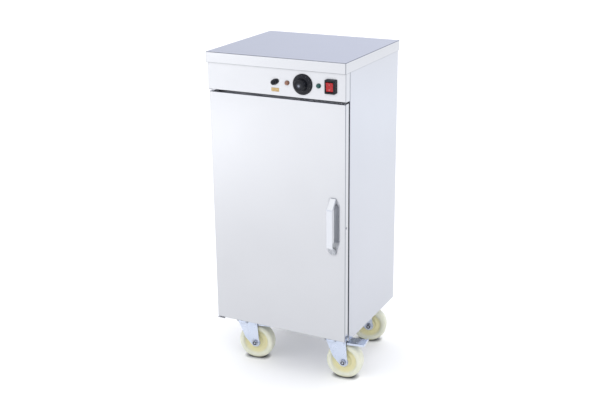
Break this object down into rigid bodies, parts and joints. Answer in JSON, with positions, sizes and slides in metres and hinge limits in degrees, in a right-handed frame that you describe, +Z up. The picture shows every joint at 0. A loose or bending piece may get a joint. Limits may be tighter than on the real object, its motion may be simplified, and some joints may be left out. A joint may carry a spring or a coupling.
{
  "type": "proofing cabinet",
  "caption": "Upright insulated bakery proofing cabinet on swivel casters, with a hinged door, a thermostat knob, indicator lamps and a rocker switch above it",
  "frame": {"origin": "on the floor, in the middle of the body's width and of the top cover's depth", "axes": "+X is to the right seen from the front, +Y is to the back, -Y is the door side, +Z is up"},
  "size_m": [0.4883, 0.4425, 1],
  "materials": {
    "outer_steel": "bright polished stainless steel sheet",
    "frame_steel": "satin stainless steel",
    "liner_steel": "satin stainless steel liner sheet",
    "wire_steel": "bright plated wire",
    "handle_alloy": "satin silver casting",
    "foam": "rigid foam",
    "seal_rubber": "black rubber",
    "black_plastic": "black moulded plastic",
    "bush_nylon": "natural nylon",
    "grey_insert": "light grey insert",
    "red_rocker": "glossy red",
    "amber_lens": "amber brown lens",
    "green_lens": "teal green lens",
    "yellow_label": "yellow plate with no lettering",
    "glass_fuse": "glass tube with metal ends",
    "heater_steel": "dark oxidised sheath",
    "sensor_copper": "copper sensor",
    "screw_steel": "plated fastener",
    "zinc_steel": "bright zinc plate with a blue tint",
    "wheel_nylon": "cream nylon"
  },
  "bodies": {
    "cabinet": {"top_cover": "outer_steel", "side_panel_left": "outer_steel", "side_panel_right": "outer_steel", "front_rail": "frame_steel", "rear_panel": "frame_steel", "base_tray": "frame_steel", "control_panel": "outer_steel", "control_deck": "frame_steel", "liner_sides": "liner_steel", "liner_back": "liner_steel", "liner_ends": "liner_steel", "insulation": "foam", "hinge_brackets": "frame_steel", "magnet_catch": "black_plastic", "thermostat_body": "black_plastic", "sensor_bulb": "sensor_copper", "rocker_housing": "black_plastic", "amber_lens": "amber_lens", "green_lens": "green_lens", "lamp_bodies": "black_plastic", "fuse_holder": "black_plastic", "fuse_cartridge": "glass_fuse", "label_plate": "yellow_label", "shelves": "wire_steel", "shelf_racks": "liner_steel", "heating_element": "heater_steel", "heater_guard": "liner_steel", "water_pan": "liner_steel", "cable_gland": "black_plastic", "panel_screws": "screw_steel", "caster_plates": "zinc_steel", "caster_bolts": "screw_steel"},
    "door": {"door_skin": "outer_steel", "door_liner": "liner_steel", "door_insulation": "foam", "door_bushes": "bush_nylon", "door_edge_plug": "black_plastic", "door_gasket": "seal_rubber", "door_handle": "handle_alloy", "handle_screws": "screw_steel"},
    "knob_set": {"knob": "black_plastic", "knob_cap": "grey_insert", "thermostat_shaft": "screw_steel"},
    "rocker": {"rocker_button": "red_rocker"},
    "fuse_cap_body": {"fuse_cap": "black_plastic"},
    "fork_fl": {"caster_fork_fl": "zinc_steel", "caster_axle_fl": "screw_steel"},
    "wheel_fl": {"caster_wheel_fl": "wheel_nylon"},
    "pedal_fl": {"brake_pedal_fl": "zinc_steel"},
    "fork_fr": {"caster_fork_fr": "zinc_steel", "caster_axle_fr": "screw_steel"},
    "wheel_fr": {"caster_wheel_fr": "wheel_nylon"},
    "pedal_fr": {"brake_pedal_fr": "zinc_steel"},
    "fork_rl": {"caster_fork_rl": "zinc_steel", "caster_axle_rl": "screw_steel"},
    "wheel_rl": {"caster_wheel_rl": "wheel_nylon"},
    "fork_rr": {"caster_fork_rr": "zinc_steel", "caster_axle_rr": "screw_steel"},
    "wheel_rr": {"caster_wheel_rr": "wheel_nylon"}
  },
  "joints": [
    {"name": "door_swing", "type": "hinge", "parent": "cabinet", "child": "door", "pos_m": [-0.208, -0.186, 0.5], "axis": [0, 0, -1], "range_deg": [0, 120]},
    {"name": "knob_turn", "type": "hinge", "parent": "cabinet", "child": "knob_set", "pos_m": [0.0892, -0.2095, 0.9284], "axis": [0, 1, 0], "range_deg": [0, 290]},
    {"name": "rocker_tilt", "type": "hinge", "parent": "cabinet", "child": "rocker", "pos_m": [0.177, -0.1994, 0.9295], "axis": [-1, 0, 0], "range_deg": [0, 12]},
    {"name": "fuse_cap_turn", "type": "hinge", "parent": "cabinet", "child": "fuse_cap_body", "pos_m": [0.0006, -0.2, 0.9284], "axis": [0, 1, 0], "range_deg": [-90, 0]},
    {"name": "swivel_fl", "type": "hinge", "parent": "cabinet", "child": "fork_fl", "pos_m": [-0.1555, -0.129, 0.13], "axis": [0, 0, 1], "continuous": true},
    {"name": "roll_fl", "type": "hinge", "parent": "fork_fl", "child": "wheel_fl", "pos_m": [-0.11797, -0.12305, 0.0575], "axis": [-0.1564, 0.9877, 0], "continuous": true},
    {"name": "brake_fl", "type": "hinge", "parent": "fork_fl", "child": "pedal_fl", "pos_m": [-0.11599, -0.12274, 0.1205], "axis": [-0.1564, 0.9877, 0], "range_deg": [0, 8]},
    {"name": "swivel_fr", "type": "hinge", "parent": "cabinet", "child": "fork_fr", "pos_m": [0.1555, -0.129, 0.13], "axis": [0, 0, 1], "continuous": true},
    {"name": "roll_fr", "type": "hinge", "parent": "fork_fr", "child": "wheel_fr", "pos_m": [0.19322, -0.12437, 0.0575], "axis": [-0.1219, 0.9925, 0], "continuous": true},
    {"name": "brake_fr", "type": "hinge", "parent": "fork_fr", "child": "pedal_fr", "pos_m": [0.1952, -0.12412, 0.1205], "axis": [-0.1219, 0.9925, 0], "range_deg": [0, 8]},
    {"name": "swivel_rl", "type": "hinge", "parent": "cabinet", "child": "fork_rl", "pos_m": [-0.124, 0.132, 0.13], "axis": [0, 0, 1], "continuous": true},
    {"name": "roll_rl", "type": "hinge", "parent": "fork_rl", "child": "wheel_rl", "pos_m": [-0.08729, 0.14183, 0.0575], "axis": [-0.2588, 0.9659, 0], "continuous": true},
    {"name": "swivel_rr", "type": "hinge", "parent": "cabinet", "child": "fork_rr", "pos_m": [0.124, 0.132, 0.13], "axis": [0, 0, 1], "continuous": true},
    {"name": "roll_rr", "type": "hinge", "parent": "fork_rr", "child": "wheel_rr", "pos_m": [0.16053, 0.14247, 0.0575], "axis": [-0.2756, 0.9613, 0], "continuous": true}
  ]
}
